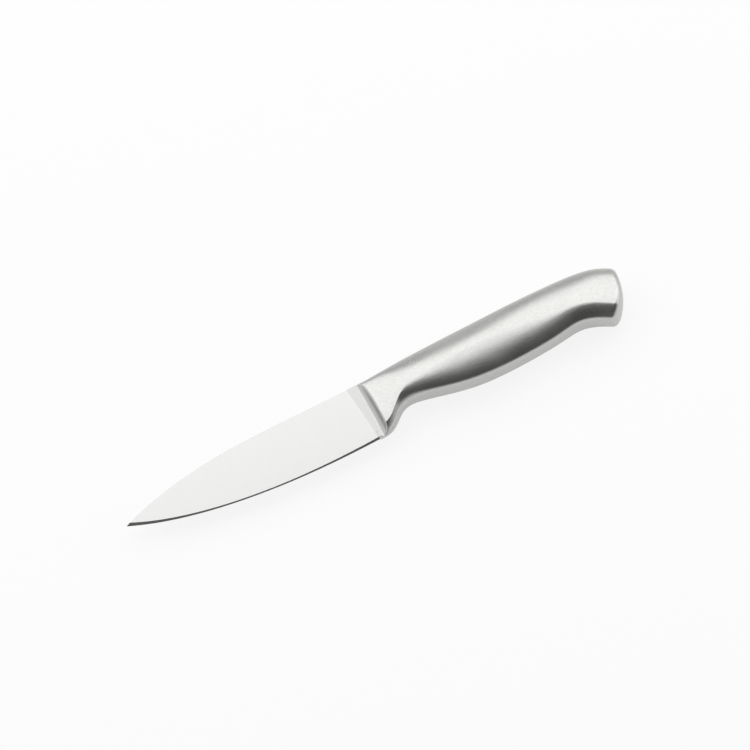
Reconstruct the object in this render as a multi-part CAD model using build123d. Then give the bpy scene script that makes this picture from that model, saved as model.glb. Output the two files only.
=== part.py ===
from build123d import *
import os
from math import cos, radians, sin, tan

# A paring knife lying on its side. The tip points to -X, the spine to +Y, and +Z is up from the table.
# Every piece is drawn about the heel, where the cutting edge meets the bolster, with the blade's
# middle plane at z = 0, and the finished knife is then moved to the table. Sizes are in millimetres.

# Blade
blade_length = 90.0
blade_height = 20.6
blade_thickness = 1.8
edge_thickness = 0.5
tip_thinning = 0.44
edge_land = 0.04
bevel_angle = 17.0
plunge_spine_reach = 3.5
plunge_heel_reach = 0.0
plunge_ramp_angle = 60.0
shoulder_depth = 2.2
shoulder_step = 0.6
tang_length = 26.0
tang_round = 2.0
tang_clearance = 1.3

# The spine and the edge: shares of the length from tip to heel, and of the height above the heel.
spine_shares = ((0.0, 0.478), (0.1, 0.631), (0.25, 0.796), (0.5, 0.931), (0.75, 0.968), (1.0, 1.0))
edge_shares = ((0.0, 0.478), (0.1, 0.326), (0.25, 0.166), (0.5, 0.018), (0.75, -0.029), (1.0, 0.0))

# Handle, from the heel to the butt
handle_length = 95.8
handle_height = 20.0
handle_thickness = 14.2
wall = 1.0
underside_round = 1.0
underside_lean = 32.0
underside_lean_front = 58.0
lean_blend_share = 0.15
crown_round = 3.2
crown_round_front = 0.9
crown_lean = 40.0
crown_blend_share = 0.45
seam_split_share = 0.54
side_pull_share = 0.55
butt_radius = 18.5
butt_dome_radius = 24.0
butt_centre_share = 0.82
butt_round = 2.0

# Stations of the handle: shares of its length, then of its height (underside, crown), then of its
# thickness, of that half thickness the flat underside and the flat crown, and of the section's height
# the place where it is widest.
station_shares = (
    (-0.030, 0.000, 1.030, 0.69, 0.40, 0.36, 0.32),
    (0.028, 0.006, 1.030, 0.71, 0.42, 0.36, 0.31),
    (0.053, 0.058, 1.037, 0.73, 0.45, 0.36, 0.31),
    (0.081, 0.184, 1.048, 0.76, 0.62, 0.36, 0.32),
    (0.108, 0.298, 1.058, 0.79, 0.71, 0.36, 0.36),
    (0.141, 0.382, 1.070, 0.82, 0.69, 0.36, 0.42),
    (0.188, 0.377, 1.085, 0.86, 0.66, 0.36, 0.45),
    (0.276, 0.305, 1.105, 0.93, 0.71, 0.36, 0.50),
    (0.381, 0.218, 1.126, 0.97, 0.69, 0.36, 0.55),
    (0.486, 0.189, 1.146, 0.96, 0.67, 0.37, 0.54),
    (0.626, 0.220, 1.176, 0.92, 0.66, 0.38, 0.50),
    (0.734, 0.292, 1.185, 0.92, 0.69, 0.39, 0.47),
    (0.812, 0.333, 1.181, 0.96, 0.71, 0.40, 0.45),
    (0.875, 0.248, 1.161, 1.00, 0.70, 0.40, 0.44),
    (0.940, 0.093, 1.095, 1.01, 0.69, 0.40, 0.42),
    (1.015, -0.095, 0.915, 1.01, 0.69, 0.40, 0.42),
)

# Bolster
cove_radius = 4.4
cove_entry_angle = 8.0
cove_reach = 0.95
cove_bow = 2.0
bolster_length = 12.0
spigot_length = 4.0
spigot_clearance = 0.1

# Welds
ring_width = 0.7
seam_width = 0.7
butt_seam_reach = 7.0
tang_bead = 1.3

# How far every cut runs past what it cuts
overrun = 5.0


def box_between(low, high):
    """A plain box between two corners."""
    size = [b - a for a, b in zip(low, high)]
    return Pos(*low) * Box(*size, align=(Align.MIN, Align.MIN, Align.MIN))


def slice_of(body, start, end):
    """The length of a body between two places along the knife."""
    wide = handle_height * 2
    return body & box_between((start, -wide, -wide), (end, wide, wide))


def far_side(piece):
    """A piece's mirror image across the blade's middle plane."""
    return mirror(piece, about=Plane.XY)


def toward(start, end, share):
    """A point at a share of the way between two points."""
    return start + (end - start) * share


def blade_curve(shares):
    """A blade outline from the tip to the heel."""
    return Spline(*[((along - 1) * blade_length, up * blade_height) for along, up in shares])


def station_height(along):
    """What the station shares of height are taken of: it follows the blade at the bolster, then the handle."""
    front = blade_height / station_shares[0][2]
    return toward(front, handle_height, min(max(along, 0) / crown_blend_share, 1))


def tang_span():
    """The heights of the tang's lower and upper side, clear of the inside of the shells along its length."""
    passed = [station for station in station_shares if station[0] * handle_length < tang_length]
    low = max(station[1] * station_height(station[0]) for station in passed)
    high = min(station[2] * station_height(station[0]) for station in passed)
    return low + wall + tang_clearance, high - wall - tang_clearance


def tang_outline():
    """The narrow tang behind the shoulder, with its rear corners rounded."""
    low, high = tang_span()
    outline = Pos(shoulder_depth, low) * Rectangle(
        tang_length - shoulder_depth, high - low, align=(Align.MIN, Align.MIN)
    )
    return fillet(outline.vertices().group_by(Axis.X)[-1], tang_round)


def blade_stock():
    """The flat blank: the blade's outline, its shoulder inside the bolster, and the tang."""
    spine = blade_curve(spine_shares)
    edge = blade_curve(edge_shares)
    rear = Polyline(
        (0, 0),
        (0, shoulder_step),
        (shoulder_depth, shoulder_step),
        (shoulder_depth, blade_height - shoulder_step),
        (0, blade_height - shoulder_step),
        (0, blade_height),
    )
    outline = make_face([spine, edge, rear]) + tang_outline()
    return Pos(0, 0, -blade_thickness / 2) * extrude(outline, amount=blade_thickness)


def ground_point(along, up):
    """A point on the ground face, at shares of the blade's length and height."""
    taper = (blade_thickness - edge_thickness) / 2
    half = edge_thickness / 2 + taper * up - tip_thinning / 2 * (1 - along)
    return Vector((along - 1) * blade_length, up * blade_height, half)


def grinding_cut():
    """What the grinder takes off the near side: all above the ground plane, up to the plunge line."""
    heel = ground_point(1, 0)
    forward = ground_point(0, 0) - heel
    upward = ground_point(1, 1) - heel
    ground = Plane(origin=heel, x_dir=upward, z_dir=forward.cross(upward) * -1)
    reach = blade_length * 2
    above = ground * Box(reach, reach, blade_height, align=(Align.CENTER, Align.CENTER, Align.MIN))
    low = Vector(-plunge_heel_reach, 0, blade_thickness / 2)
    high = Vector(-plunge_spine_reach, blade_height, blade_thickness / 2)
    line = (high - low).normalized()
    level = line.cross(Vector(0, 0, 1))
    lean = radians(plunge_ramp_angle)
    ramp = Plane(origin=low, x_dir=line, z_dir=level * sin(lean) - Vector(0, 0, 1) * cos(lean))
    behind = ramp * Box(reach, reach, blade_height, align=(Align.CENTER, Align.CENTER, Align.MIN))
    return above - behind


def wedge_outline(points):
    """A closed outline from a line of edge points, round a box that lies under the edge."""
    first, last = points[0], points[-1]
    under = -blade_height
    corners = [last, Vector(last.X, under, last.Z), Vector(first.X, under, last.Z), first]
    lines = [Edge.make_line(a, b) for a, b in zip(corners, corners[1:])]
    return Wire([Edge.make_spline(points), *lines])


def ramp_line(height):
    """The sharpened ramp's line at one height, which follows the edge and runs past both its ends."""
    edge = blade_curve(edge_shares)
    setback = (height - edge_land / 2) / tan(radians(bevel_angle))
    steps = len(edge_shares) * 2
    points = []
    for step in range(steps + 1):
        along = edge % (step / steps)
        inward = Vector(-along.Y, along.X) * setback
        points.append(edge @ (step / steps) + inward + Vector(0, 0, height))
    before = points[0] - (edge % 0) * overrun
    after = points[-1] + (edge % 1) * overrun
    return [before, *points, after]


def sharpening_cut():
    """What sharpening takes off the near side, from the tip to the heel."""
    outlines = [wedge_outline(ramp_line(height)) for height in (0, blade_thickness)]
    reach = blade_length * 2
    return Solid.make_loft(outlines, True) & box_between((-reach, -reach, 0), (0, reach, reach))


def blade():
    """The ground and sharpened blade."""
    piece = blade_stock()
    for cut in (grinding_cut(), sharpening_cut()):
        piece = piece - cut - far_side(cut)
    return piece


def near_section(y_low, y_high, half, flat_low, flat_high, widest_share, lean, crown):
    """The near side of a handle section: rounded crease, bulging side and rounded crown."""
    rise = Vector(0, cos(radians(lean)), sin(radians(lean)))
    fall = Vector(0, -cos(radians(crown_lean)), sin(radians(crown_lean)))
    crease = Vector(0, y_low, half * flat_low)
    shoulder = Vector(0, y_high, half * flat_high)
    widest = Vector(0, y_low + (y_high - y_low) * widest_share, half)
    reach_low = (half - crease.Z) / rise.Z
    reach_high = (half - shoulder.Z) / fall.Z
    round_low = min(underside_round, reach_low / 2)
    round_high = min(crown, shoulder.Z / 2, reach_high / 2)
    knee_low = crease + rise * reach_low
    knee_high = shoulder + fall * reach_high
    side_start = crease + rise * round_low
    side_end = shoulder + fall * round_high
    pull = side_pull_share
    lower_pulls = toward(side_start, knee_low, pull), toward(widest, knee_low, pull)
    upper_pulls = toward(widest, knee_high, pull), toward(side_end, knee_high, pull)
    return [
        Edge.make_bezier(crease - Vector(0, 0, round_low), crease, side_start),
        Edge.make_bezier(side_start, *lower_pulls, widest),
        Edge.make_bezier(widest, *upper_pulls, side_end),
        Edge.make_bezier(side_end, shoulder, shoulder - Vector(0, 0, round_high)),
    ]


def crown_rounding(along):
    """The rounding beside the crown: tight at the bolster, soft along the grip."""
    return toward(crown_round_front, crown_round, min(max(along, 0) / crown_blend_share, 1))


def side_lean(along):
    """How far the side leans out above the crease: nearly flat at the bolster, upright along the grip."""
    return toward(underside_lean_front, underside_lean, min(max(along, 0) / lean_blend_share, 1))


def handle_body(inset=0):
    """The handle's form from the heel to the butt, drawn in all round by an inset."""
    sections = []
    for along, low, high, wide, flat_low, flat_high, widest_share in station_shares:
        near = near_section(
            low * station_height(along) + inset,
            high * station_height(along) - inset,
            wide * handle_thickness / 2 - inset,
            flat_low,
            flat_high,
            widest_share,
            side_lean(along),
            crown_rounding(along),
        )
        far = [edge.mirror(Plane.XY) for edge in near]
        underside = Edge.make_line(far[0] @ 0, near[0] @ 0)
        crown = Edge.make_line(near[-1] @ 1, far[-1] @ 1)
        place = Pos(along * handle_length, 0, 0)
        sections.append(place * Wire([underside, *near, crown, *far]))
    return Solid.make_loft(sections) - past_butt(inset)


def past_butt(inset):
    """What lies past the domed end of the butt, round an axis through the dome's centre."""
    tall = handle_thickness
    crest = butt_radius - inset
    dome = butt_dome_radius - inset
    rim = crest - dome + (dome**2 - tall**2) ** 0.5
    arc = ThreePointArc((-rim, -tall), (-crest, 0), (-rim, tall))
    outline = Polyline((-rim, tall), (0, tall), (0, -tall), (-rim, -tall))
    barrel = revolve(Plane.XZ * make_face([arc, outline]), Axis.Z)
    wide = handle_height * 2
    beyond = box_between((0, -wide, -tall), (butt_radius + overrun, wide, tall))
    centre_y = butt_centre_share * handle_height
    return Pos(handle_length - butt_radius, centre_y, 0) * (beyond - barrel)


def outer_body():
    """The handle's outside, with the rim of its domed butt rounded."""
    body = handle_body()
    end_face = body.faces().sort_by(Axis.X)[-1]
    return body.fillet(butt_round, end_face.edges())


def cove_cut():
    """A bowed round bar that hollows the near side of the bolster down to the blade's face."""
    entry = radians(cove_entry_angle)
    middle = cove_reach - cove_radius * sin(entry)
    height = blade_thickness / 2 + cove_radius * cos(entry)
    path = ThreePointArc(
        (middle - cove_bow, 0, height),
        (middle, blade_height / 2, height),
        (middle - cove_bow, blade_height, height),
    )
    start = Plane(origin=path @ 0, z_dir=path % 0)
    return sweep(start * Circle(cove_radius), path)


def bolster(body):
    """The forged collar: coved to the blade, slotted for it, with a spigot that enters the shells."""
    cove = cove_cut()
    spigot_end = bolster_length + spigot_length
    collar = slice_of(body, 0, bolster_length) - cove - far_side(cove)
    spigot = slice_of(handle_body(wall + spigot_clearance), bolster_length, spigot_end)
    half = blade_thickness / 2
    top = blade_height - shoulder_step
    shoulder_slot = box_between((-overrun, shoulder_step, -half), (shoulder_depth, top, half))
    low, high = tang_span()
    tang_slot = box_between((0, low, -half), (spigot_end + overrun, high, half))
    return collar + spigot - shoulder_slot - tang_slot


def handle_shell(skin):
    """The near pressed half of the hollow handle, from the ring weld to the seam weld."""
    front = bolster_length + ring_width
    wide = handle_height * 2
    near = box_between((front, -wide, seam_width / 2), (handle_length, wide, handle_thickness))
    return skin & near


def seam_welds(skin):
    """The three runs of the weld between the half shells: along the spine, the belly and the butt."""
    front = bolster_length + ring_width
    rear = handle_length - butt_seam_reach
    middle = handle_height * seam_split_share
    wide = handle_height * 2
    half = seam_width / 2
    return {
        "spine_seam_weld": skin & box_between((front, middle, -half), (rear, wide, half)),
        "belly_seam_weld": skin & box_between((front, -wide, -half), (rear, middle, half)),
        "butt_seam_weld": skin & box_between((rear, -wide, -half), (handle_length, wide, half)),
    }


def tang_weld():
    """The fillet weld on the near side, where the tang leaves the spigot."""
    start = bolster_length + spigot_length
    face = blade_thickness / 2
    corners = ((start, face), (start + tang_bead, face), (start, face + tang_bead))
    low, high = tang_span()
    bead = extrude(Plane.XZ * make_face(Polyline(*corners, close=True)), amount=low - high)
    return Pos(0, low, 0) * bead


def knife():
    """Every piece by name, drawn about the heel."""
    body = outer_body()
    skin = body - handle_body(wall)
    shell = handle_shell(skin)
    bead = tang_weld()
    return {
        "blade": blade(),
        "bolster": bolster(body),
        "bolster_ring_weld": slice_of(skin, bolster_length, bolster_length + ring_width),
        "tang_welds": Compound([bead, far_side(bead)]),
        "handle_shell_left": shell,
        "handle_shell_right": far_side(shell),
        **seam_welds(skin),
    }


def on_table(pieces):
    """Moves the knife so that its box stands on the table, centred on the origin."""
    boxes = [piece.bounding_box() for piece in pieces.values()]
    low = [min(values) for values in zip(*(box.min for box in boxes))]
    high = [max(values) for values in zip(*(box.max for box in boxes))]
    place = Pos(-(low[0] + high[0]) / 2, -(low[1] + high[1]) / 2, -low[2])
    return {name: place * piece for name, piece in pieces.items()}


if __name__ == "__main__":
    os.makedirs("parts", exist_ok=True)
    for name, piece in on_table(knife()).items():
        export_step(piece, f"parts/{name}.step")
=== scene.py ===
# %% [markdown]
# # An all-steel paring knife, dressed for the camera
#
# The knife lies on its side on a pale table. Its blade is ground and sharpened steel, and its grip is a
# hollow, satin-finished steel handle with a coved bolster in front and a hooked, domed butt behind.
# The imported CAD model is loaded first. The blade and the tang's welds are the CAD's own; the other pieces
# are made anew.

import math

import bmesh
import bpy
import numpy as np
from mathutils import Matrix, Vector


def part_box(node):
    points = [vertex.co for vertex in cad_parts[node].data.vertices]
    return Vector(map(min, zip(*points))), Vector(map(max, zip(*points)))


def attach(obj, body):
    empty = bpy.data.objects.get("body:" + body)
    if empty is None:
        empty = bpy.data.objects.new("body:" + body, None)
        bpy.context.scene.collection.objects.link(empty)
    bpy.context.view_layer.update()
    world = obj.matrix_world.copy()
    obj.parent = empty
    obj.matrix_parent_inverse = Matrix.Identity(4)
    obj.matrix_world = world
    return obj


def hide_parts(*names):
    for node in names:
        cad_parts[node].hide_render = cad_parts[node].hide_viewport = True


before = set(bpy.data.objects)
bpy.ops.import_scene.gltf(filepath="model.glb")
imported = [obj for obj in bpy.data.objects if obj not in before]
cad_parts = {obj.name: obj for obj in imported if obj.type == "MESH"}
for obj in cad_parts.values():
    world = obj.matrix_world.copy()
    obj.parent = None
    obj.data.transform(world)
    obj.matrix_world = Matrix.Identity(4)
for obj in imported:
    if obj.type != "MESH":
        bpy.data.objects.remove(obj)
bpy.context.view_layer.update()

# %% [markdown]
# ## Where the knife is
#
# The CAD draws the knife about its heel, where the cutting edge meets the bolster. Working in millimetres
# from that point keeps the numbers the same as a knife maker's, so the heel's place on the table is worked
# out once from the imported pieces, and every surface made below is moved there at the end.

# %% The heel's place on the table
MM = 0.001
blade_height = 20.6
blade_thickness = 1.8
blade_low, blade_high = (np.array(corner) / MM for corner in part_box("blade"))
bolster_low, _ = (np.array(corner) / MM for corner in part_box("bolster"))
heel = np.array([bolster_low[0], blade_high[1] - blade_height, (blade_low[2] + blade_high[2]) / 2])
print("heel at", heel.round(3), "mm")

# %% [markdown]
# ## The camera
#
# The picture is taken from nearly overhead. The lens leans about 18 degrees towards the cutting edge, which
# is why the handle's flat underside shows as a band, and the knife is turned so that its butt points up to
# the right. A long lens far away keeps the knife free of perspective, as a catalogue picture does.

# %% Place the camera
camera_lean = math.radians(17.8)
picture_turn = math.radians(25.0)
lens_mm, sensor_mm = 200.0, 36.0
view_width = 253.5
# The two clipping distances are in metres.
near_clip, far_clip = 0.05, 20.0
heel_to_aim = np.array([7.49, 21.28, 0.0])
aim = Vector((heel + heel_to_aim) * MM)

knife_up = Vector((0, math.cos(camera_lean), math.sin(camera_lean)))
knife_along = Vector((1, 0, 0))
right = math.cos(picture_turn) * knife_along - math.sin(picture_turn) * knife_up
up = math.sin(picture_turn) * knife_along + math.cos(picture_turn) * knife_up
back = right.cross(up)

lens = bpy.data.cameras.new("camera")
lens.lens = lens_mm
lens.sensor_width = sensor_mm
lens.clip_start, lens.clip_end = near_clip, far_clip
camera = bpy.data.objects.new("camera", lens)
bpy.context.scene.collection.objects.link(camera)
distance = view_width * MM * lens_mm / sensor_mm
turn = Matrix((right, up, back)).transposed().to_4x4()
camera.matrix_world = Matrix.Translation(aim + back * distance) @ turn
bpy.context.scene.camera = camera
bpy.context.scene.view_settings.view_transform = "Standard"
look_down = round(90 - math.degrees(camera_lean), 1)
print("camera", round(distance, 3), "m away, looking down at", look_down, "degrees")

# %% [markdown]
# ## The shape of the handle
#
# The grip is pressed from sheet, and every cross-section is one closed line: a flat underside, a small
# rounded crease, a bulging side, a rounded shoulder and a flat crown, mirrored on the far side. The table
# below gives that line at sixteen stations. A smooth cubic curve through the stations carries each of its
# control points along the handle, so the whole skin is one function of two numbers: how far along the
# handle a point lies, and how far round.

# %% The stations
handle_length, handle_height, handle_thickness = 95.8, 20.0, 14.2
wall = 1.0
lean_at_bolster, lean_on_grip, lean_from, lean_over = 38.0, 32.0, 0.10, 0.14
crown_lean = 40.0
crease_round, crease_round_more = 1.0, 1.2
crown_round_front, crown_round_grip, crown_round_over = 0.9, 3.2, 0.45
side_pull = 0.55
# Columns: place along the handle as a share of its length, underside and crown as shares of its height,
# width as a share of its thickness, flat underside and flat crown as shares of that width, and the height
# of the widest point as a share of the section's own.
stations = np.array([
    (-0.030, 0.000, 1.030, 0.53, 0.46, 0.36, 0.18), (0.028, 0.004, 1.030, 0.56, 0.47, 0.36, 0.16),
    (0.053, 0.046, 1.037, 0.60, 0.52, 0.36, 0.14), (0.081, 0.152, 1.048, 0.65, 0.60, 0.36, 0.14),
    (0.108, 0.270, 1.058, 0.71, 0.62, 0.36, 0.17), (0.141, 0.345, 1.070, 0.78, 0.65, 0.36, 0.27),
    (0.188, 0.348, 1.085, 0.86, 0.70, 0.36, 0.36), (0.276, 0.274, 1.105, 0.93, 0.72, 0.36, 0.44),
    (0.381, 0.187, 1.126, 0.97, 0.70, 0.36, 0.53), (0.486, 0.162, 1.146, 0.96, 0.67, 0.36, 0.54),
    (0.626, 0.193, 1.174, 0.92, 0.66, 0.35, 0.46), (0.734, 0.254, 1.179, 0.92, 0.68, 0.35, 0.38),
    (0.812, 0.293, 1.174, 0.96, 0.70, 0.35, 0.34), (0.875, 0.206, 1.152, 1.00, 0.68, 0.36, 0.32),
    (0.940, 0.040, 1.087, 1.01, 0.65, 0.38, 0.28), (1.015, -0.160, 0.907, 1.01, 0.65, 0.40, 0.25),
])
print(len(stations), "stations along", handle_length, "mm of handle")

# %% The control points of a section
def section_knots(inset):
    """The control points (y, z) of the near half of each station's line, as an array (station, point, 2).
    The side leaves the crease 38 degrees off upright at the bolster, easing to 32 along the grip, is widest
    at the station's own share of the height, and falls to the crown 40 degrees off upright. Each corner is
    cut back and rounded, so a knee is the meeting point of two tangents, and the points beside it lie on
    those tangents."""
    along, low, high, wide, flat_low, flat_high, widest_share = stations.T
    y_low, y_high = low * handle_height + inset, high * handle_height - inset
    half = wide * handle_thickness / 2 - inset
    toward_grip = np.clip((along - lean_from) / lean_over, 0, 1)
    rise = np.radians(lean_at_bolster + (lean_on_grip - lean_at_bolster) * toward_grip)
    fall = np.radians(crown_lean)
    crease_z, crown_z = half * flat_low, half * flat_high
    reach_low, reach_high = (half - crease_z) / np.sin(rise), (half - crown_z) / np.sin(fall)
    toward_crown = np.clip(along / crown_round_over, 0, 1)
    crown = crown_round_front + (crown_round_grip - crown_round_front) * toward_crown
    round_low = np.minimum(crease_round + crease_round_more * (1 - toward_grip), reach_low / 2)
    round_high = np.minimum(crown, np.minimum(crown_z / 2, reach_high / 2))
    crease = np.stack([y_low, crease_z], -1)
    shoulder = np.stack([y_high, crown_z], -1)
    widest = np.stack([y_low + (y_high - y_low) * widest_share, half], -1)
    up_side, down_side = np.stack([np.cos(rise), np.sin(rise)], -1), np.array([-np.cos(fall), np.sin(fall)])
    knee_low, knee_high = crease + up_side * reach_low[:, None], shoulder + down_side * reach_high[:, None]
    start, end = crease + up_side * round_low[:, None], shoulder + down_side * round_high[:, None]
    outward = np.array([0.0, 1.0])
    return np.stack([
        crease - outward * round_low[:, None], crease, start,
        start + (knee_low - start) * side_pull, widest + (knee_low - widest) * side_pull, widest,
        widest + (knee_high - widest) * side_pull, end + (knee_high - end) * side_pull, end,
        shoulder, shoulder - outward * round_high[:, None],
    ], axis=1)


print("control points of half a section:", section_knots(0.0).shape[1])

# %% A smooth curve through the stations
def curve_through(knots_x, knots, x):
    """A natural cubic curve through knots (station, ...), read at every x. Its second slopes solve one
    linear system, in which each station's slope is the same from both sides and the ends are straight."""
    count = len(knots_x)
    step = np.diff(knots_x)
    flat = knots.reshape(count, -1)
    system, target = np.eye(count), np.zeros_like(flat)
    inner = np.arange(1, count - 1)
    system[inner, inner - 1], system[inner, inner + 1] = step[:-1], step[1:]
    system[inner, inner] = 2 * (step[:-1] + step[1:])
    slope = np.diff(flat, axis=0) / step[:, None]
    target[1:-1] = 6 * np.diff(slope, axis=0)
    bend = np.linalg.solve(system, target)
    cell = np.clip(np.searchsorted(knots_x, x, side="right") - 1, 0, count - 2)
    h = step[cell][:, None]
    b = ((x - knots_x[cell])[:, None]) / h
    a = 1 - b
    value = a * flat[cell] + b * flat[cell + 1]
    value += ((a**3 - a) * bend[cell] + (b**3 - b) * bend[cell + 1]) * h**2 / 6
    return value.reshape(x.shape + knots.shape[1:])


sample_x = np.array([0.0, 40.0, 80.0])
underside = curve_through(stations[:, 0] * handle_length, stations[:, 1] * handle_height, sample_x)
print("underside at", sample_x, "mm:", underside.round(2))

# %% The section line
def bezier(points, t):
    """A Bezier curve by repeated averaging: points is (..., n, 2), and t holds the places to read, 0 to 1."""
    points = [points[..., i, :][..., None, :] for i in range(points.shape[-2])]
    t = t[:, None]
    while len(points) > 1:
        points = [(1 - t) * a + t * b for a, b in zip(points, points[1:])]
    return points[0]


def open_steps(count):
    """Even steps from 0 that stop short of 1, where the next run of the line begins."""
    return np.linspace(0, 1, count, endpoint=False)


def near_line(x, counts=(8, 12, 34, 34, 16, 10), inset=0.0, start_z=0.0):
    """The near half of the section line at every x, in six runs: half the flat underside, crease, lower
    side, upper side, shoulder and half the flat crown. It starts and ends at a height start_z."""
    knots = curve_through(stations[:, 0] * handle_length, section_knots(inset), x)
    flat_low, crease, lower, upper, shoulder, flat_high = counts
    middle_low, middle_high = (knots[:, end] * [1, 0] + [0, start_z] for end in (0, 10))
    parts = [
        bezier(np.stack([middle_low, knots[:, 0]], 1), open_steps(flat_low)),
        bezier(knots[:, 0:3], open_steps(crease)),
        bezier(knots[:, 2:6], open_steps(lower)),
        bezier(knots[:, 5:9], open_steps(upper)),
        bezier(knots[:, 8:11], open_steps(shoulder)),
        bezier(np.stack([knots[:, 10], middle_high], 1), np.linspace(0, 1, flat_high)),
    ]
    return np.concatenate(parts, axis=1)


sample = near_line(sample_x)
print("section points:", sample.shape[1], "- crown there:", sample[:, -1, 0].round(2))

# %% [markdown]
# ## From arrays to a mesh
#
# A grid of points becomes a mesh in one step: the four corners of every cell are numbered with whole
# arrays, and from_pydata hands them over. Edges sharper than 35 degrees stay sharp, so a crisp rim reads
# as a rim and the rest of the skin shades as one smooth surface.

# %% Mesh helpers
sharp_degrees = 35.0
merge_mm, sliver_mm = 0.0008, 0.0004


def grid_faces(rows, columns, closed=False):
    """The corner numbers of every cell in a grid of rows by columns, wrapped round when closed."""
    last = columns if closed else columns - 1
    r, c = np.meshgrid(np.arange(rows - 1), np.arange(last), indexing="ij")
    beside = (c + 1) % columns
    corners = (r * columns + c, r * columns + beside, (r + 1) * columns + beside, (r + 1) * columns + c)
    return np.stack(corners, -1).reshape(-1, 4)


def make_piece(name, points, faces):
    """A mesh object from points in millimetres about the heel, and faces given as a list of arrays of corner
    numbers. Doubled points are merged, so that poles and seams close, and the faces are turned outwards."""
    mesh = bpy.data.meshes.new(name)
    placed = (np.asarray(points).reshape(-1, 3) + heel) * MM
    mesh.from_pydata(placed, [], [face for group in faces for face in np.asarray(group).tolist()])
    work = bmesh.new()
    work.from_mesh(mesh)
    bmesh.ops.remove_doubles(work, verts=work.verts, dist=merge_mm * MM)
    bmesh.ops.dissolve_degenerate(work, edges=work.edges, dist=sliver_mm * MM)
    bmesh.ops.recalc_face_normals(work, faces=work.faces)
    open_edges = sum(1 for edge in work.edges if not edge.is_manifold)
    volume = work.calc_volume() / MM**3
    work.to_mesh(mesh)
    work.free()
    mesh.shade_smooth()
    mesh.set_sharp_from_angle(angle=math.radians(sharp_degrees))
    piece = bpy.data.objects.new(name, mesh)
    bpy.context.scene.collection.objects.link(piece)
    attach(piece, "root")
    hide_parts(name)
    print(name, len(mesh.polygons), "faces,", open_edges, "open edges,", round(volume, 1), "cubic mm")
    return piece


print("a grid of 3 by 4 points has", len(grid_faces(3, 4)), "cells")

# %% [markdown]
# ## The skin as a function
#
# Two dense tables are read once: the outside of the handle, and the same form drawn in by the wall of one
# millimetre. Each holds the section line at every twentieth of a millimetre along the handle, so that any
# place on either skin is a straight mix of two table rows. The lines start a third of a millimetre off the
# middle plane, because that is where the two halves of the handle end and the weld between them begins.

# %% Tables of the two skins
seam_width = 0.7
table_start, table_end, table_step = -2.0, 97.0, 0.05
halvings = 40


def skin_table(inset=0.0, start_z=seam_width / 2):
    """The near half of the section line along the whole handle, drawn in by an inset."""
    x = np.arange(table_start, table_end, table_step)
    return {"x": x, "inset": inset, "yz": near_line(x, inset=inset, start_z=start_z)}


def skin_point(x, skin):
    """The skin where each section line passes x: a straight mix of the two nearest rows of its table. The
    last axis of x runs over the section lines."""
    position = np.clip((x - skin["x"][0]) / table_step, 0, len(skin["x"]) - 2)
    cell = position.astype(int)
    part = (position - cell)[..., None]
    line = np.broadcast_to(np.arange(x.shape[-1]), x.shape)
    yz = skin["yz"][cell, line] * (1 - part) + skin["yz"][cell + 1, line] * part
    return np.concatenate([x[..., None], yz], -1)


def meeting_place(low, high, beyond, skin):
    """Where each section line meets a surface, by halving the stretch of x that holds the meeting place
    again and again. beyond says of points whether they lie past the surface."""
    low, high = np.full(line_count, low), np.full(line_count, high)
    for _ in range(halvings):
        middle = (low + high) / 2
        past = beyond(skin_point(middle, skin))
        low, high = np.where(past, low, middle), np.where(past, middle, high)
    return (low + high) / 2


outer, inner = skin_table(), skin_table(inset=wall)
line_count = outer["yz"].shape[1]
print(line_count, "section lines, handle", outer["yz"][..., 1].max().round(2) * 2, "mm thick")

# %% [markdown]
# ## The domed butt
#
# The handle ends in a shallow dome that leans round a centre below the crown, so its outline from the side
# is a round arc and the lower corner makes a hook for the little finger. Each line of the skin runs back
# until it meets the dome, turns over a rounded rim, and then runs in to the middle of the dome.

# %% The dome
butt_radius, butt_dome_radius, butt_round = 18.5, 48.0, 1.2
butt_centre_share, dome_middle_height = 0.82, 11.6
butt_centre = np.array([handle_length - butt_radius, butt_centre_share * handle_height])
dome_middle = np.array([dome_middle_height, seam_width / 2])


def dome_reach(z, inset):
    """How far from its centre the dome's outline reaches at a height z: an arc of the dome's own radius,
    which touches the butt's radius at the middle plane."""
    return butt_radius - butt_dome_radius + np.sqrt((butt_dome_radius - inset) ** 2 - z**2)


def on_dome(yz, inset):
    """The point of the dome above a place (y, z): Pythagoras in the plane of the butt's round outline."""
    reach = dome_reach(yz[..., 1], inset)
    x = butt_centre[0] + np.sqrt(np.maximum(reach**2 - (yz[..., 0] - butt_centre[1]) ** 2, 0))
    return np.concatenate([x[..., None], yz], -1)


print("the middle of the dome lies", on_dome(dome_middle, 0.0).round(2), "mm from the heel")

# %% The rounded rim, and the rows that lead to it
butt_search = (80.0, 96.5)
rim_steps, dome_steps = 15, 28


def conic(start, corner, end, count, weight=0.72):
    """A rounded corner: the mix of start, corner and end by (1-t) squared, 2t(1-t) times the weight and t
    squared. At a right angle a weight of 0.71 is a circle's arc."""
    t = np.linspace(0, 1, count)[:, None, None]
    a, b, c = (1 - t) ** 2, 2 * weight * t * (1 - t), t**2
    return (a * start + b * corner + c * end) / (a + b + c)


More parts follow.
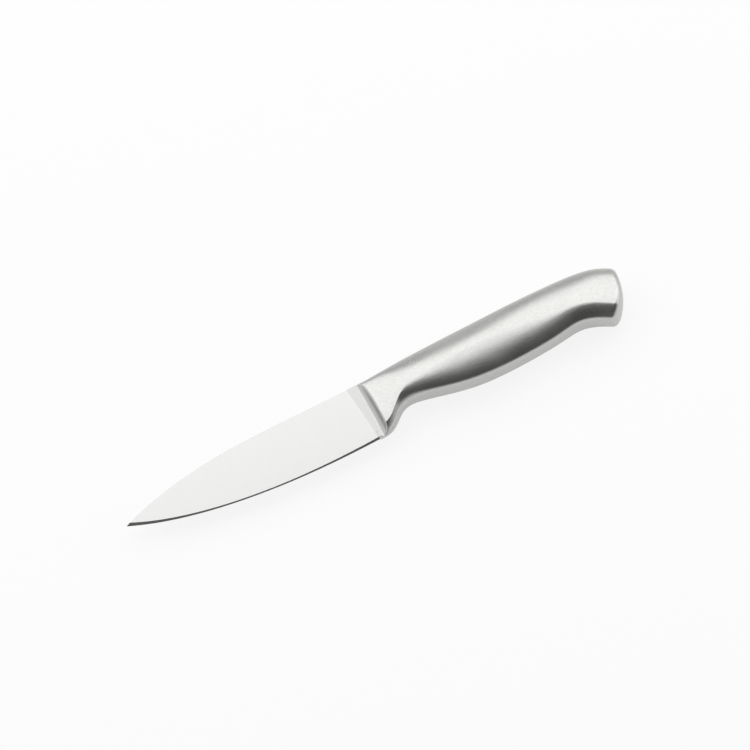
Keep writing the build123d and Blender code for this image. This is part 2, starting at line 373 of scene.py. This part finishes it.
def handle_rows(skin, start, row_count, radius):
    """One skin of the grip as a grid of rows from a start to the middle of the dome: even steps to the rim,
    the rim's rounding, and rows that close in on the dome's middle."""
    inset = skin["inset"]

    def past_dome(p):
        return np.hypot(p[:, 0] - butt_centre[0], p[:, 1] - butt_centre[1]) > dome_reach(p[:, 2], inset)

    x_rim = meeting_place(*butt_search, past_dome, skin)
    rim, before = skin_point(x_rim, skin), skin_point(x_rim - radius, skin)
    toward = dome_middle - rim[:, 1:]
    length = np.linalg.norm(toward, axis=1)[:, None]
    after = on_dome(rim[:, 1:] + toward / length * np.minimum(radius, length / 2), inset)
    x = start + (x_rim - radius - start) * np.linspace(0, 1, row_count)[:-1, None]
    inward = after[:, 1:] + (dome_middle - after[:, 1:]) * np.linspace(0, 1, dome_steps)[1:, None, None]
    return np.concatenate([skin_point(x, skin), conic(before, rim, after, rim_steps), on_dome(inward, inset)])


print("each skin ends in", rim_steps, "rows round the rim and", dome_steps - 1, "on the dome")

# %% [markdown]
# ## The half shells
#
# The real handle is two pressed halves welded along the middle plane, with the weld ground flush. Each half
# is two skins of the same grid, the outside and the inside of the sheet, joined by a rim round their
# borders. Solidify could make the wall, but it would bend the outer shading at the borders, and there the
# joint has to stay unseen, because the real one is ground away.

# %% The half shells
bolster_length, ring_width, butt_seam_reach = 12.0, 0.7, 7.0
front = bolster_length + ring_width
body_rows = 260
inner_butt_round = 0.3
outside = handle_rows(outer, front, body_rows, butt_round)
inside = handle_rows(inner, front, body_rows, inner_butt_round)


def walled(outside, inside):
    """Points and faces of a wall between two grids of one size: both skins, and a strip of faces that joins
    their borders all the way round."""
    rows, columns = outside.shape[:2]
    count = rows * columns
    number = np.arange(count).reshape(rows, columns)
    border = np.concatenate([number[0], number[1:, -1], number[-1, -2::-1], number[-2:0:-1, 0]])
    beside = np.roll(border, -1)
    skin = grid_faces(rows, columns)
    rim = np.stack([border, border + count, beside + count, beside], -1)
    return np.concatenate([outside.reshape(-1, 3), inside.reshape(-1, 3)]), [skin, skin[:, ::-1] + count, rim]


points, faces = walled(outside, inside)
shell_left = make_piece("handle_shell_left", points, faces)
shell_right = make_piece("handle_shell_right", points * [1, 1, -1], faces)

# %% [markdown]
# ## The seam welds
#
# Between the halves lies the weld, seen only as part of the same skin. It is a ribbon that follows the
# crown, the round of the butt and the underside in the middle plane, in three runs.

# %% The seam welds as ribbons
weld_columns = 5


def weld_run(name, path, side=1):
    """A ribbon from one half shell to the other along a path (x, y): its outer face lies on the path, its
    inner face is the path moved one wall inwards along its normal, and both ends are closed."""
    slope = np.gradient(path, axis=0)
    inward = side * np.stack([slope[:, 1], -slope[:, 0]], -1) / np.linalg.norm(slope, axis=1)[:, None]
    across = np.linspace(-seam_width / 2, seam_width / 2, weld_columns)
    outer_and_inner = [np.repeat(line[:, None], weld_columns, 1) for line in (path, path + inward * wall)]
    loop_xy = np.concatenate(outer_and_inner, 1)
    loop_z = np.broadcast_to(np.concatenate([across, across[::-1]]), loop_xy.shape[:2])[..., None]
    rows, around = loop_xy.shape[:2]
    ends = np.array([np.arange(around), (rows - 1) * around + np.arange(around)])
    points = np.concatenate([loop_xy, loop_z], -1)
    return make_piece(name, points, [grid_faces(rows, around, closed=True), ends])


rear = handle_length - butt_seam_reach
crown_path, underside_path = outside[:, -1, :2], outside[:, 0, :2]
crown_cut = int(np.searchsorted(crown_path[:body_rows, 0], rear))
under_cut = int(np.searchsorted(underside_path[:body_rows, 0], rear))
butt_path = np.concatenate([crown_path[crown_cut - 1:-1], underside_path[under_cut - 1:][::-1]])
welds = [
    weld_run("spine_seam_weld", crown_path[:crown_cut]),
    weld_run("belly_seam_weld", underside_path[:under_cut], side=-1),
    weld_run("butt_seam_weld", butt_path),
]

# %% [markdown]
# ## The ring weld
#
# Where the bolster meets the two shells, a weld runs all the way round, ground flush like the others. It is
# cut from the same two skins, so it can't stand proud: level rows of the outside and of the inside are
# joined into loops round the handle, and the first row comes again at the end to close the ring.

# %% The ring weld between the bolster and the shells
ring_steps = 4
middle_outer, middle_inner = skin_table(start_z=0.0), skin_table(inset=wall, start_z=0.0)


def all_round(half_rows):
    """Rows of a near half made into closed loops: the same line again, backwards and mirrored, follows it."""
    return np.concatenate([half_rows, half_rows[:, ::-1] * [1, 1, -1]], axis=1)


def level_rows(start, stop, count, skin):
    """Rows of a skin at evenly spaced places along the handle."""
    return skin_point(np.repeat(np.linspace(start, stop, count)[:, None], line_count, axis=1), skin)


ring_out = level_rows(bolster_length, front, ring_steps, middle_outer)
ring_in = level_rows(bolster_length, front, ring_steps, middle_inner)
ring_rows = all_round(np.concatenate([ring_out, ring_in[::-1], ring_out[:1]]))
ring_faces = [grid_faces(*ring_rows.shape[:2], closed=True)]
ring_weld = make_piece("bolster_ring_weld", ring_rows, ring_faces)

# %% [markdown]
# ## The bolster and its cove
#
# The forged bolster is the same section line carried on to the heel, with a hollow cut into each side, as if
# by a round bar of 3 mm radius. The bar runs from the edge to the spine, bowed a little, and it just reaches
# the blade's face. Every section line runs forward until it meets that bar, turns over a rim that polishing
# has softened, and runs down round the bar to the blade. Behind, a spigot enters the shells.

# %% The bar that hollows the bolster
cove_radius, cove_entry, cove_reach = 3.0, math.radians(8.0), 0.7
cove_bow_edge, cove_bow_spine, cove_rim_round = -0.5, 0.9, 0.9
half_blade = blade_thickness / 2
cove_middle = cove_reach - cove_radius * math.sin(cove_entry)
cove_height = half_blade + cove_radius * math.cos(cove_entry)
bow = np.array([
    (cove_middle - cove_bow_edge, 0),
    (cove_middle, blade_height / 2),
    (cove_middle - cove_bow_spine, blade_height),
])
square = (bow**2).sum(1)
bow_centre = np.linalg.solve(2 * np.diff(bow, axis=0), np.diff(square))
bow_radius = np.linalg.norm(bow[0] - bow_centre)


def bar_place(point):
    """A point in the bar's own terms: the angle along its bow, how far out from the bow, and how high."""
    arm = point[..., :2] - bow_centre
    out = np.hypot(arm[..., 0], arm[..., 1]) - bow_radius
    return np.arctan2(arm[..., 1], arm[..., 0]), out, point[..., 2] - cove_height


def bar_surface(bow_angle, angle):
    """The bar's surface: a circle of the cove's radius carried round the bow, as on a ring."""
    ring = bow_radius + cove_radius * np.cos(angle)
    x, y = bow_centre[0] + ring * np.cos(bow_angle), bow_centre[1] + ring * np.sin(bow_angle)
    return np.stack([x, y, cove_height + cove_radius * np.sin(angle)], -1)


def clear_of_bar(point):
    """Whether a point lies outside the bar."""
    _, out, height = bar_place(point)
    return np.hypot(out, height) > cove_radius


print("the bar's bow has a radius of", round(float(bow_radius)), "mm")

# %% Where the bolster meets the bar
cove_search = (0.0, 7.0)
x_rim = meeting_place(*cove_search, clear_of_bar, middle_outer)
rim = skin_point(x_rim, middle_outer)
coved = rim[:, 2] > half_blade
bow_angle, out, height = bar_place(rim)
top_angle = np.arctan2(height, out)
reach_to_front = (-bow_centre[0] / np.cos(bow_angle) - bow_radius) / cove_radius
low_angle = np.minimum(-np.arccos(np.clip(reach_to_front, math.sin(cove_entry), 1)), top_angle)
low_angle = np.where(coved, low_angle, top_angle)
rim_places = x_rim[coved]
print("the cove's rim lies", rim_places.min().round(2), "to", rim_places.max().round(2), "mm behind the heel")

# %% The hollow and its soft rim
rim_share = 0.45
hollow_steps, turn_steps = 30, 11
soft = np.minimum(cove_rim_round, cove_radius * (top_angle - low_angle) * rim_share)
turn_angle = top_angle - soft / cove_radius
after = np.where(coved[:, None], bar_surface(bow_angle, turn_angle), rim)
before = skin_point(x_rim + soft, middle_outer)
down_the_cove = low_angle + (turn_angle - low_angle) * np.linspace(0, 1, hollow_steps)[:-1, None]
hollow = np.where(coved[None, :, None], bar_surface(bow_angle, down_the_cove), rim)
mouth = hollow[:1] * [1, 1, 0] + np.array([0, 0, 1]) * np.minimum(hollow[:1, :, 2:], half_blade)
turn_rows = conic(before, rim, after, turn_steps)[::-1]
print(len(hollow), "rows down the hollow and", len(turn_rows), "round its rim")

# %% The collar, the spigot and the whole bolster
collar_steps, spigot_steps = 50, 6
spigot_end, spigot_clearance, spigot_middle = 16.0, 0.1, 14.5
x = x_rim + soft + (bolster_length - x_rim - soft) * np.linspace(0, 1, collar_steps)[1:, None]
collar = skin_point(x, middle_outer)
spigot_skin = skin_table(inset=wall + spigot_clearance, start_z=0.0)
spigot = level_rows(bolster_length, spigot_end, spigot_steps, spigot_skin)
half_rows = np.concatenate([mouth, hollow, turn_rows, collar, spigot])
loops = all_round(half_rows)
rows, around = loops.shape[:2]
points = np.concatenate([loops.reshape(-1, 3), [[spigot_end, spigot_middle, 0.0]]])
last = (rows - 1) * around + np.arange(around)
fan = np.stack([last, np.roll(last, -1), np.full(around, rows * around)], -1)
c = np.arange(line_count - 1)
bridge = np.stack([c, c + 1, around - 2 - c, around - 1 - c], -1)
faces = [grid_faces(rows, around, closed=True), fan, bridge]
bolster = make_piece("bolster", points, faces)

# %% [markdown]
# ## Steel
#
# All of it is stainless steel, and its finish makes the difference. The handle has a fine satin finish,
# made by blasting or brushing, whose grain is a few tenths of a millimetre wide: it softens every
# reflection and gives a faint speckle. The blade is ground, so fine lines run across it from the spine to
# the edge. One function makes colours from sRGB hex, and one adds a node with its settings and links.

# %% Material helpers
def srgb(code):
    """A hex colour as linear numbers with alpha: each channel is undone from its sRGB curve."""
    channel = np.array([int(code[i:i + 2], 16) for i in (0, 2, 4)]) / 255
    linear = np.where(channel <= 0.04045, channel / 12.92, ((channel + 0.055) / 1.055) ** 2.4)
    return (*linear.tolist(), 1.0)


def add_node(tree, kind, settings=(), links=()):
    """Adds one node. Settings go to its properties or, with a number or a name, to its input sockets; each
    link joins an output socket to one of its inputs."""
    node = tree.nodes.new(kind)
    for key, value in dict(settings).items():
        if isinstance(key, str) and hasattr(node, key):
            setattr(node, key, value)
        else:
            node.inputs[key].default_value = value
    for key, socket in dict(links).items():
        tree.links.new(socket, node.inputs[key])
    return node


def new_material(name):
    """An empty node material and its tree."""
    material = bpy.data.materials.new(name)
    material.use_nodes = True
    material.node_tree.nodes.clear()
    return material, material.node_tree


print("the mid grey 808080 is", round(srgb("808080")[0], 3), "in linear light")

# %% [markdown]
# ## The satin finish
#
# A satin finish is thousands of fine dents and scratches. A picture of brushed metal could show them, but it
# would have to be wrapped round the grip, and its seams would show. Noise that reads the object's own
# coordinates needs no wrapping, and its scale follows from the width of the grain in millimetres.

# %% Satin stainless steel for the handle
satin_grain, satin_stretch, satin_cloud = 0.45, 0.3, 14.0


def satin_steel(name, colour, light_colour):
    """Satin stainless steel, brushed along the handle and blasted: neutral grey metal, soft highlights, fine
    speckle drawn out lengthwise. The grain is 0.45 mm across and three times as long, coarser than the real
    one, so that it shows at 3 pixels to a millimetre. Its crests are a shade lighter than its hollows."""
    material, tree = new_material(name)
    place = add_node(tree, "ShaderNodeTexCoord").outputs["Object"]
    brushed = add_node(tree, "ShaderNodeMapping", {"Scale": (satin_stretch, 1.0, 1.0)}, {"Vector": place})
    grain = add_node(tree, "ShaderNodeTexNoise", {"Scale": 1 / (satin_grain * MM), "Detail": 3.0},
                     {"Vector": brushed.outputs["Vector"]})
    shade = add_node(tree, "ShaderNodeMix", {"data_type": "RGBA", 6: srgb(colour), 7: srgb(light_colour)},
                     {0: grain.outputs["Fac"]})
    cloud = add_node(tree, "ShaderNodeTexNoise", {"Scale": 1 / (satin_cloud * MM), "Detail": 2.0},
                     {"Vector": place})
    rough = add_node(tree, "ShaderNodeMapRange",
                     {"From Min": 0.3, "From Max": 0.7, "To Min": 0.27, "To Max": 0.33},
                     {"Value": cloud.outputs["Fac"]})
    bump = add_node(tree, "ShaderNodeBump", {"Strength": 0.6, "Distance": 0.04 * MM},
                    {"Height": grain.outputs["Fac"]})
    steel = add_node(tree, "ShaderNodeBsdfPrincipled", {"Metallic": 1.0},
                     {"Base Color": shade.outputs[2], "Roughness": rough.outputs["Result"],
                      "Normal": bump.outputs["Normal"]})
    add_node(tree, "ShaderNodeOutputMaterial", {}, {"Surface": steel.outputs["BSDF"]})
    return material


print("satin grain", satin_grain, "mm wide and", round(satin_grain / satin_stretch, 2), "mm long")

# %% [markdown]
# ## The ground finish
#
# The blade is ground from the spine to the edge, and the grinder stops at the plunge line. The ramp there
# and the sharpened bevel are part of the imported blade, so the material only has to know where they are: a
# dot product with the direction across the plunge line says how far from that line a place lies.

# %% Ground stainless steel for the blade
ground_line, ground_lean = 0.5, -14.0
line_stretch = (1.0, 0.015, 0.3)
plunge_spine_reach = 3.5
plunge_across = np.array([blade_height, plunge_spine_reach, 0]) / math.hypot(blade_height, plunge_spine_reach)
plunge_start = float(heel @ plunge_across) * MM
duller_half, duller_roughness = 0.2, 0.06
ramp_inner, ramp_outer, ramp_slope_kept = 0.25, 0.6, 0.1
bevel_low, bevel_high = 0.6, 1.1
plunge_lean = math.degrees(math.atan2(plunge_spine_reach, blade_height))
print("the plunge line leans", round(plunge_lean, 1), "degrees")


def ground_steel(name, colour, dull_colour):
    """Ground stainless steel: fine lines half a millimetre apart, coarser than the real ones so that they
    show, which cross the blade and lean a little towards the tip. Behind the plunge line, where the grinder
    stops, the flat of the blade is duller: there it is a shade darker and rougher. The small ramp at the
    line shades nearly flat, because the real one shows no dark line at it, but the sharpened bevel below it
    stays dark."""
    material, tree = new_material(name)
    place = add_node(tree, "ShaderNodeTexCoord").outputs["Object"]

    # the grinding lines
    lean = add_node(tree, "ShaderNodeMapping",
                    {"Rotation": (0, 0, math.radians(ground_lean)), "Scale": line_stretch},
                    {"Vector": place})
    lines = add_node(tree, "ShaderNodeTexNoise", {"Scale": 1 / (ground_line * MM), "Detail": 3.0},
                     {"Vector": lean.outputs["Vector"]})
    fine = add_node(tree, "ShaderNodeMapRange",
                    {"From Min": 0.3, "From Max": 0.7, "To Min": 0.28, "To Max": 0.295},
                    {"Value": lines.outputs["Fac"]})

    # the duller flat behind the plunge line
    from_plunge = add_node(tree, "ShaderNodeVectorMath", {"operation": "DOT_PRODUCT", 1: plunge_across},
                           {0: place})
    half = duller_half * MM
    behind = add_node(tree, "ShaderNodeMapRange",
                      {"From Min": plunge_start - half, "From Max": plunge_start + half},
                      {"Value": from_plunge.outputs["Value"]})
    shade = add_node(tree, "ShaderNodeMix", {"data_type": "RGBA", 6: srgb(colour), 7: srgb(dull_colour)},
                     {0: behind.outputs["Result"]})
    rough = add_node(tree, "ShaderNodeMath", {"operation": "MULTIPLY_ADD", 1: duller_roughness},
                     {0: behind.outputs["Result"], 2: fine.outputs["Result"]})

    # the ramp at the plunge line, above the bevel
    away = add_node(tree, "ShaderNodeMath", {"operation": "SUBTRACT", 1: plunge_start},
                    {0: from_plunge.outputs["Value"]})
    apart = add_node(tree, "ShaderNodeMath", {"operation": "ABSOLUTE"}, {0: away.outputs[0]})
    near, far = ramp_inner * MM, ramp_outer * MM
    beside = add_node(tree, "ShaderNodeMapRange",
                      {"From Min": near, "From Max": far, "To Min": 1.0, "To Max": 0.0},
                      {"Value": apart.outputs[0]})
    up_blade = add_node(tree, "ShaderNodeSeparateXYZ", {}, {0: place}).outputs["Y"]
    above_bevel = add_node(tree, "ShaderNodeMapRange",
                           {"From Min": (heel[1] + bevel_low) * MM, "From Max": (heel[1] + bevel_high) * MM},
                           {"Value": up_blade})
    at_ramp = add_node(tree, "ShaderNodeMath", {"operation": "MULTIPLY"},
                       {0: beside.outputs["Result"], 1: above_bevel.outputs["Result"]})
    facing = add_node(tree, "ShaderNodeNewGeometry").outputs["Normal"]
    flatter = add_node(tree, "ShaderNodeVectorMath",
                       {"operation": "MULTIPLY", 1: (ramp_slope_kept, ramp_slope_kept, 1.0)}, {0: facing})
    eased = add_node(tree, "ShaderNodeMix", {"data_type": "VECTOR"},
                     {0: at_ramp.outputs[0], 4: facing, 5: flatter.outputs["Vector"]})
    blended = add_node(tree, "ShaderNodeVectorMath", {"operation": "NORMALIZE"}, {0: eased.outputs[1]})

    bump = add_node(tree, "ShaderNodeBump", {"Strength": 0.005, "Distance": 0.02 * MM},
                    {"Height": lines.outputs["Fac"], "Normal": blended.outputs["Vector"]})
    steel = add_node(tree, "ShaderNodeBsdfPrincipled", {"Metallic": 1.0},
                     {"Base Color": shade.outputs[2], "Roughness": rough.outputs[0],
                      "Normal": bump.outputs["Normal"]})
    add_node(tree, "ShaderNodeOutputMaterial", {}, {"Surface": steel.outputs["BSDF"]})
    return material


print("grinding lines", ground_line, "mm apart, leaning", ground_lean, "degrees")

# %% The steels on their pieces
handle_steel = satin_steel("satin_stainless_steel", "B5B5B3", "D2D2D0")
weld_steel = satin_steel("weld_steel_ground_flush", "B5B5B3", "D2D2D0")
blade_steel = ground_steel("ground_stainless_steel", "CECECD", "C4C4C2")
for piece in (shell_left, shell_right, bolster):
    piece.data.materials.append(handle_steel)
for piece in [*welds, ring_weld]:
    piece.data.materials.append(weld_steel)
for node, material in (("blade", blade_steel), ("tang_welds", weld_steel)):
    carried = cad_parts[node]
    carried.data.materials.clear()
    carried.data.materials.append(material)
print("materials:", [m.name for m in bpy.data.materials])

# %% [markdown]
# ## Table, light and surroundings
#
# The table is plain and pale. Its own light is mixed in for the camera and, with a smaller share, for
# reflections. So it looks white, the knife still leaves a soft shadow, and the underside of the grip, which
# mirrors the table beside it, comes out a light grey. One large soft panel hangs above, on the spine side,
# and two weaker ones light the butt and the tip. The blade and the upper side of the grip mirror the large
# one, and where the grip turns towards the cutting edge it mirrors the dim room instead, which gives the
# dark band that shows its roundness. The room is lighter near the horizon and nearly dark overhead.

# %% The table
# Half the table's width is in metres.
half_table = 2.5
own_light_seen, own_light_mirrored = 0.84, 0.6
table_mesh = bpy.data.meshes.new("table")
corners = np.array([(-1, -1, 0), (1, -1, 0), (1, 1, 0), (-1, 1, 0)]) * [half_table, half_table, 0]
table_mesh.from_pydata(corners, [], [(0, 1, 2, 3)])
table = bpy.data.objects.new("table", table_mesh)
bpy.context.scene.collection.objects.link(table)
paper, tree = new_material("matt_white_paper")
path = add_node(tree, "ShaderNodeLightPath")
bounced = add_node(tree, "ShaderNodeMath", {"operation": "MAXIMUM"},
                   {0: path.outputs["Is Glossy Ray"], 1: path.outputs["Is Transmission Ray"]})
mirrored = add_node(tree, "ShaderNodeMath", {"operation": "MULTIPLY", 1: own_light_mirrored},
                    {0: bounced.outputs[0]})
part = add_node(tree, "ShaderNodeMath", {"operation": "MULTIPLY_ADD", 1: own_light_seen},
                {0: path.outputs["Is Camera Ray"], 2: mirrored.outputs[0]})
matt = add_node(tree, "ShaderNodeBsdfDiffuse", {"Color": srgb("FFFFFF")})
glow = add_node(tree, "ShaderNodeEmission", {"Color": srgb("FFFFFF"), "Strength": 1.0})
mixed = add_node(tree, "ShaderNodeMixShader", {},
                 {0: part.outputs[0], 1: matt.outputs[0], 2: glow.outputs[0]})
add_node(tree, "ShaderNodeOutputMaterial", {}, {"Surface": mixed.outputs[0]})
table_mesh.materials.append(paper)
print("table", 2 * half_table, "m wide")

# %% The light
def panel(name, azimuth, zenith, away, size, radiance):
    """A soft rectangular lamp that looks at the knife, placed by its direction: azimuth from +X, and zenith
    angle from straight up, both in degrees. How far away it is and its size are in metres. Its power is
    its area times pi times the radiance wanted."""
    lamp = bpy.data.lights.new(name, "AREA")
    lamp.shape = "RECTANGLE"
    lamp.size, lamp.size_y = size
    lamp.energy = radiance * math.pi * size[0] * size[1]
    a, z = math.radians(azimuth), math.radians(zenith)
    direction = Vector((math.cos(a) * math.sin(z), math.sin(a) * math.sin(z), math.cos(z)))
    holder = bpy.data.objects.new(name, lamp)
    bpy.context.scene.collection.objects.link(holder)
    holder.location = direction * away
    holder.rotation_euler = direction.to_track_quat("Z", "X").to_euler()
    holder.visible_camera = False
    return holder


main_panel = panel("spine_side_panel", 90, 34, 0.9, (1.0, 1.6), 1.58)
butt_panel = panel("butt_side_panel", 0, 56, 1.2, (1.0, 1.4), 1.1)
tip_panel = panel("tip_side_panel", 180, 60, 1.2, (0.8, 1.4), 0.6)
print("lamp powers in W:", [round(lamp.data.energy, 2) for lamp in (main_panel, butt_panel, tip_panel)])

# %% The room
room_low, room_high = 0.60, 0.07
world = bpy.data.worlds.new("studio")
bpy.context.scene.world = world
world.use_nodes = True
tree = world.node_tree
tree.nodes.clear()
direction = add_node(tree, "ShaderNodeTexCoord").outputs["Generated"]
height = add_node(tree, "ShaderNodeSeparateXYZ", {}, {0: direction}).outputs["Z"]
level = add_node(tree, "ShaderNodeMapRange",
                 {"From Min": 0.30, "From Max": 0.55, "To Min": room_low, "To Max": room_high},
                 {"Value": height})
sky = add_node(tree, "ShaderNodeBackground", {"Color": srgb("FFFFFF")}, {"Strength": level.outputs["Result"]})
add_node(tree, "ShaderNodeOutputWorld", {}, {"Surface": sky.outputs[0]})
print("room strength", room_low, "near the horizon,", room_high, "overhead")
